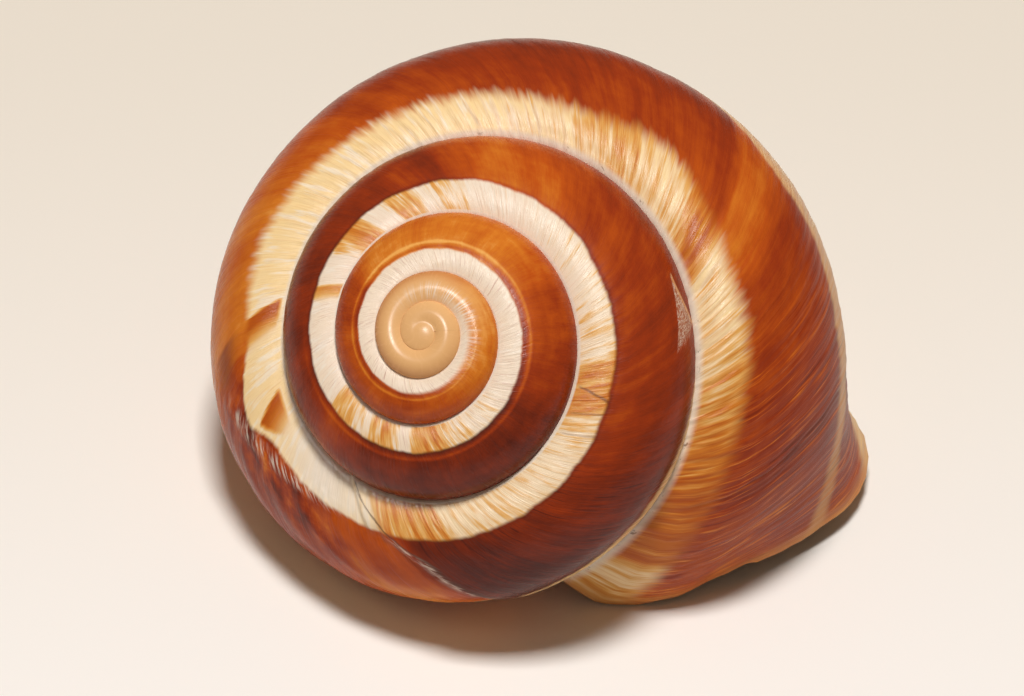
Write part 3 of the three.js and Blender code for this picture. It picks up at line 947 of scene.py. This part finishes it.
def new_piece(name: str, points: np.ndarray, faces: list[tuple[int, ...]]) -> bpy.types.Object:
    """Makes a smooth mesh object.

    Args:
        name: The piece's name.
        points: Its points in mm.
        faces: Its faces.

    Returns:
        The object, in metres.
    """
    mesh = bpy.data.meshes.new(name)
    mesh.from_pydata((points * MM).tolist(), [], faces)
    mesh.polygons.foreach_set("use_smooth", [True] * len(mesh.polygons))
    mesh.update()
    mesh.set_sharp_from_angle(angle=SHARP_EDGE)
    piece = bpy.data.objects.new(name, mesh)
    bpy.context.scene.collection.objects.link(piece)
    return piece


def dress(piece: bpy.types.Object, finish: "BandedFinish | PlainFinish") -> None:
    """Gives a piece of the shell its finish and its place in the frame."""
    piece.data.materials.append(finish.make())
    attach(piece, "root")
    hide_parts("shell")
    LOG.info("%s: %d faces", piece.name, len(piece.data.polygons))


@dataclass
class ShellSkin:
    """The whole grown wall: outside, lip and lining, as one closed mesh."""

    coil: Coil
    relief: Relief
    edge: LipEdge
    row_steps: tuple[tuple[float, float], ...] = (
        (1.2, 0.1), (2.9, 0.25), (4.0, 0.33), (4.3, 0.24), (4.6, 0.15), (4.95, 0.19), (5.2, 0.12),
    )
    column_steps: tuple[tuple[float, float], ...] = ((0.05, 0.008), (0.56, 0.017), (1.0, 0.032))
    inner_columns: int = 12
    wall: float = 0.6
    wall_share: float = 0.12
    lip_wall: float = 0.3
    thinning_turn: float = 4.9
    root: float = 0.5
    root_sink: float = 0.3
    clearance: float = 0.01
    draw_in: float = 1.0
    seam_gap: float = 0.004
    seam_pair: float = 0.0001
    seam_sink: float = 0.2
    name: str = "shell_skin"

    def rows(self) -> np.ndarray:
        """Gives the turns of the rows, at even steps of length that change with the whorl.

        Three rows close together make the thread-thin cut where the seam of the tip begins.
        """
        places = [0.0]
        low = 0.0
        for until, step in self.row_steps:
            start, end = self.coil.arc(low), self.coil.arc(until)
            count = max(2, round(float(end - start) / step))
            marks = np.linspace(float(start), float(end), count + 1)[1:]
            places.extend(np.interp(marks, self.coil.arc_mm, self.coil.arc_turns))
            low = until
        clear = [place for place in places if abs(place - 1) > self.seam_gap]
        return np.array(sorted([*clear, 1 - self.seam_pair, 1.0, 1 + self.seam_pair]))

    def columns(self) -> np.ndarray:
        """Gives the places of the columns across the whorl."""
        places = [0.0]
        for until, step in self.column_steps:
            low = places[-1]
            count = round((until - low) / step)
            places.extend(np.linspace(low, until, count + 1)[1:])
        return np.array(places)

    def build(self) -> bpy.types.Object:
        """Builds the mesh with its attributes.

        Returns:
            The object.
        """
        coil = self.coil
        rows = self.rows()
        columns = self.columns()
        growth, across = np.meshgrid(rows, columns, indexing="ij")
        growth = self.edge.cut(growth, across, coil.lip_turn)
        outer = coil.outside(growth, across)
        out = coil.outward(growth, across)
        outer = outer + out * self.relief(growth, across)[..., None]
        outer[rows == 1] -= self.seam_sink * coil.along

        picked = np.linspace(len(columns) - 1, 0, self.inner_columns).round().astype(int)
        wide = coil.widest(growth[:, picked])
        full = np.minimum(self.wall, self.wall_share * wide)
        thin = smoothstep(growth[:, picked], self.thinning_turn, coil.lip_turn)
        depth = full + (self.lip_wall - full) * thin
        inner = outer[:, picked] - out[:, picked] * depth[..., None]

        suture = outer[:, 0]
        inwards = np.array(coil.tip) - suture
        inwards = inwards - (inwards @ coil.along)[:, None] * coil.along
        inwards = inwards / np.maximum(np.linalg.norm(inwards, axis=-1, keepdims=True), 1e-9)
        rooted = suture + inwards * (self.root * depth[:, -1:])
        rooted = rooted - out[:, 0] * (depth[:, -1:] * self.root_sink)

        rings = np.concatenate([outer, inner, rooted[:, None]], axis=1)
        count = rings.shape[1]
        points = self.kept_inside(rings.reshape(-1, 3))
        faces = self.ring_faces(len(rows), count)
        faces += self.end_faces(0, len(columns), len(picked), False)
        faces += self.end_faces((len(rows) - 1) * count, len(columns), len(picked), True)
        piece = new_piece(self.name, points, faces)

        def ring(values: np.ndarray, root: np.ndarray) -> np.ndarray:
            """Lays values of the columns out along the rings."""
            return np.concatenate([values, values[:, picked], root[:, None]], axis=1).reshape(-1)

        lined = np.concatenate([
            np.zeros_like(outer[..., 0]), np.ones_like(inner[..., 0]), np.zeros((len(rows), 1)),
        ], axis=1).reshape(-1)
        self.carry(piece, Growth.TURN, ring(growth, growth[:, 0]))
        self.carry(piece, Growth.ACROSS, ring(across, across[:, 0]))
        self.carry(piece, Growth.ARC, ring(coil.arc(growth), coil.arc(growth[:, 0])))
        self.carry(piece, Growth.INSIDE, lined)
        return piece

    def kept_inside(self, points: np.ndarray) -> np.ndarray:
        """Draws the outermost millimetre in where the true curve leaves the faceted solid's box."""
        low, high = (np.array(corner) / MM for corner in cad_box)
        for k, sign in ((0, -1), (0, 1), (1, -1), (1, 1), (2, 1)):
            limit = (high[k] if sign > 0 else -low[k]) - self.clearance
            over = sign * points[:, k] - (limit - self.draw_in)
            reach = over.max()
            if reach > self.draw_in:
                bend = (reach - self.draw_in) / reach**2
                points[:, k] = np.where(over > 0, points[:, k] - sign * bend * over**2, points[:, k])
        points[:, 2] = np.maximum(points[:, 2], 0)
        return points

    @staticmethod
    def carry(piece: bpy.types.Object, kind: Growth, values: np.ndarray) -> None:
        """Writes a number for each point into the mesh."""
        made = piece.data.attributes.new(kind.value, "FLOAT", "POINT")
        made.data.foreach_set("value", values.astype(np.float32))

    @staticmethod
    def ring_faces(rows: int, count: int) -> list[tuple[int, ...]]:
        """Gives the faces between rows of closed rings."""
        start = np.arange(rows - 1)[:, None] * count
        here = np.arange(count)[None, :]
        after = (here + 1) % count
        a = start + here
        b = start + after
        quads = np.stack([a, a + count, b + count, b], -1).reshape(-1, 4)
        return [tuple(q) for q in quads.tolist()]

    @staticmethod
    def end_faces(first: int, outer: int, inner: int, flip: bool) -> list[tuple[int, ...]]:
        """Closes an end of the wall between its outer and inner points.

        Args:
            first: Index of the ring's first point.
            outer: How many outer points it has.
            inner: How many inner points it has, in the other direction.
            flip: Whether the faces look the other way.

        Returns:
            The faces.
        """
        faces = []
        last = outer + inner - 1
        i, j = 0, 0
        while i < outer - 1 or j < inner - 1:
            a, b = first + i, first + last - j
            if j >= inner - 1 or (i < outer - 1 and (i + 1) / (outer - 1) <= (j + 1) / (inner - 1)):
                faces.append((a, a + 1, b))
                i += 1
            else:
                faces.append((a, b - 1, b))
                j += 1
        faces.append((first, first + last, first + last + 1))
        return [face[::-1] for face in faces] if flip else faces


@dataclass(frozen=True)
class PlainFinish:
    """A smooth finish of one pale colour with faint clouds."""

    name: str
    light: tuple
    dark: tuple
    roughness: float
    cloud_size: float

    def make(self) -> bpy.types.Material:
        """Builds the material."""
        graph = Graph(self.name)
        place = graph.node("ShaderNodeTexCoord").outputs["Object"]
        cloud = graph.noise(place, 1 / self.cloud_size, 3.0, 0.5)
        colour = graph.mix(self.dark, self.light, cloud)
        return graph.finish({"Base Color": colour, "Roughness": self.roughness})


@dataclass(frozen=True)
class FloorWithPaintedFalloff:
    """Matt pale card with a painted falloff of the light: painted a little darker and warmer towards the back
    and brighter towards the front.
    """

    # Colours of the floor painted lit at the front and painted in shade at the back.
    near: tuple = srgb(252, 248, 245)
    shaded_far: tuple = srgb(236, 227, 214)
    lit_near_y: float = -0.04
    shaded_far_y: float = 0.045

    def make(self) -> bpy.types.Material:
        """Builds the material."""
        graph = Graph("pale_floor")
        place = graph.node("ShaderNodeTexCoord").outputs["Object"]
        split = graph.node("ShaderNodeSeparateXYZ", None, {0: place})
        depth = Val(graph, split.outputs["Y"])
        # Painted shade: the floor's colour darkens and warms from front to back, standing in for the light's
        # falloff.
        colour = graph.mix(self.near, self.shaded_far, depth.step(self.lit_near_y, self.shaded_far_y))
        return graph.finish({"Base Color": colour, "Roughness": 0.7, "Specular IOR Level": 0.2})


@dataclass
class Columella:
    """The pillar round which the whorls turn, down to the surface."""

    coil: Coil
    depths: tuple[float, ...] = (0.9, 3, 5.8, 9, 13.2, 17.2, 21, 25.25)
    radii: tuple[float, ...] = (0.28, 0.48, 0.8, 1.2, 1.55, 1.65, 1.35, 1.15)
    sides: int = 32
    rings: int = 60
    name: str = "columella"

    def build(self) -> bpy.types.Object:
        """Builds the pillar."""
        coil = self.coil
        depths = np.linspace(self.depths[0], self.depths[-1], self.rings)
        radii = np.interp(depths, self.depths, self.radii)
        angles = -2 * math.pi * np.arange(self.sides) / self.sides
        depth, angle = np.meshgrid(depths, angles, indexing="ij")
        radius = radii[:, None] * np.ones_like(angle)
        points = coil.place(radius, angle, -depth)
        foot = points[-1]
        points[-1] = foot - (foot[:, 2] / coil.along[2])[:, None] * coil.along
        flat = points.reshape(-1, 3)
        flat[:, 2] = np.maximum(flat[:, 2], 0)
        faces = ShellSkin.ring_faces(self.rings, self.sides)
        faces.append(tuple(range(self.sides))[::-1])
        start = (self.rings - 1) * self.sides
        faces.append(tuple(range(start, start + self.sides)))
        return new_piece(self.name, flat, faces)


@dataclass
class Stage:
    """The pale floor, the soft light and the camera."""

    coil: Coil
    floor_half: float = 1.2
    camera_elevation: float = 47.0
    camera_distance: float = 275.0
    mm_per_pixel: float = 0.055
    tip_pixel: tuple[float, float] = (421.8, 331.8)
    picture: tuple[int, int] = (1024, 696)
    sensor: float = 36.0
    sees_from: float = 0.01
    sees_to: float = 10
    light_colour: tuple[float, float, float] = (1.0, 0.995, 0.98)
    surroundings: Colour = (1.0, 0.77, 0.55, 1)
    surroundings_strength: float = 0.14

    def floor(self) -> None:
        """Lays the floor."""
        half = self.floor_half / MM
        corners = [(-half, -half, 0), (half, -half, 0), (half, half, 0), (-half, half, 0)]
        piece = new_piece("floor", np.array(corners, float), [(0, 1, 2, 3)])
        piece.data.materials.append(FloorWithPaintedFalloff().make())

    @staticmethod
    def stand(name: str, data: bpy.types.ID, *axes_and_spot: np.ndarray) -> bpy.types.Object:
        """Puts a camera or light in the scene, by its three directions and its place."""
        turn = np.eye(4)
        turn[:3] = np.stack(axes_and_spot, 1)
        made = bpy.data.objects.new(name, data)
        made.matrix_world = Matrix(turn.tolist())
        bpy.context.scene.collection.objects.link(made)
        return made

    def camera(self) -> None:
        """Places the camera so that the tip of the shell falls on its pixel."""
        elevation = math.radians(self.camera_elevation)
        right = np.array([1.0, 0, 0])
        up = np.array([0, math.sin(elevation), math.cos(elevation)])
        back = np.array([0, -math.cos(elevation), math.sin(elevation)])
        tip = np.array(self.coil.tip)
        aim_right = (self.picture[0] / 2 - self.tip_pixel[0]) * self.mm_per_pixel
        aim_up = (self.tip_pixel[1] - self.picture[1] / 2) * self.mm_per_pixel
        target = tip + right * aim_right + up * aim_up
        eye = tip + back * self.camera_distance
        look = (target - eye) / np.linalg.norm(target - eye)
        across = np.cross(look, up)
        across /= np.linalg.norm(across)
        data = bpy.data.cameras.new("camera")
        data.sensor_width = self.sensor
        data.lens = self.camera_distance / (self.mm_per_pixel * self.picture[0]) * self.sensor
        data.clip_start = self.sees_from
        data.clip_end = self.sees_to
        camera = self.stand("camera", data, across, np.cross(across, look), -look, eye * MM)
        bpy.context.scene.camera = camera

    def light(self, name: str, spot: Row, size: float, power: float, glints: bool) -> None:
        """Hangs a square soft light that looks at the shell.

        Args:
            name: Its name.
            spot: Its place in metres.
            size: Its side in metres.
            power: Its power in watts.
            glints: Whether it makes the highlights, and not the light on the surfaces.
        """
        data = bpy.data.lights.new(name, "AREA")
        data.shape = "SQUARE"
        data.size = size
        data.energy = power
        data.color = self.light_colour
        away = np.array(spot) / np.linalg.norm(spot)
        side = np.cross([0, 1, 0.01], away)
        side /= np.linalg.norm(side)
        lamp = self.stand(name, data, side, np.cross(away, side), away, spot)
        lamp.visible_diffuse = not glints
        lamp.visible_glossy = glints

    def lights(self) -> None:
        """Lights the surfaces from above, and makes the highlights from the front left."""
        world = bpy.data.worlds.new("surroundings")
        world.use_nodes = True
        sockets = world.node_tree.nodes["Background"].inputs
        sockets["Color"].default_value = self.surroundings
        sockets["Strength"].default_value = self.surroundings_strength
        bpy.context.scene.world = world
        self.light("overhead", (0.0, -0.03, 0.46), 0.09, 1.85, False)
        self.light("left_window", (-0.2, -0.15, 0.38), 0.07, 1.6, True)

    def build(self) -> None:
        """Builds the whole stage."""
        self.camera()
        self.lights()
        self.floor()
        view = bpy.context.scene.view_settings
        view.view_transform = "Standard"
        view.look = "None"


def main() -> None:
    """Builds the shell and its stage."""
    logging.basicConfig(level=logging.INFO, format="%(message)s")
    coil = Coil()
    Stage(coil).build()
    dress(ShellSkin(coil, Relief(coil), LipEdge()).build(), BandedFinish())
    glaze = PlainFinish("columella_glaze", srgb(244, 232, 220), srgb(226, 196, 170), 0.3, 0.004)
    dress(Columella(coil).build(), glaze)


if __name__ == "__main__":
    main()
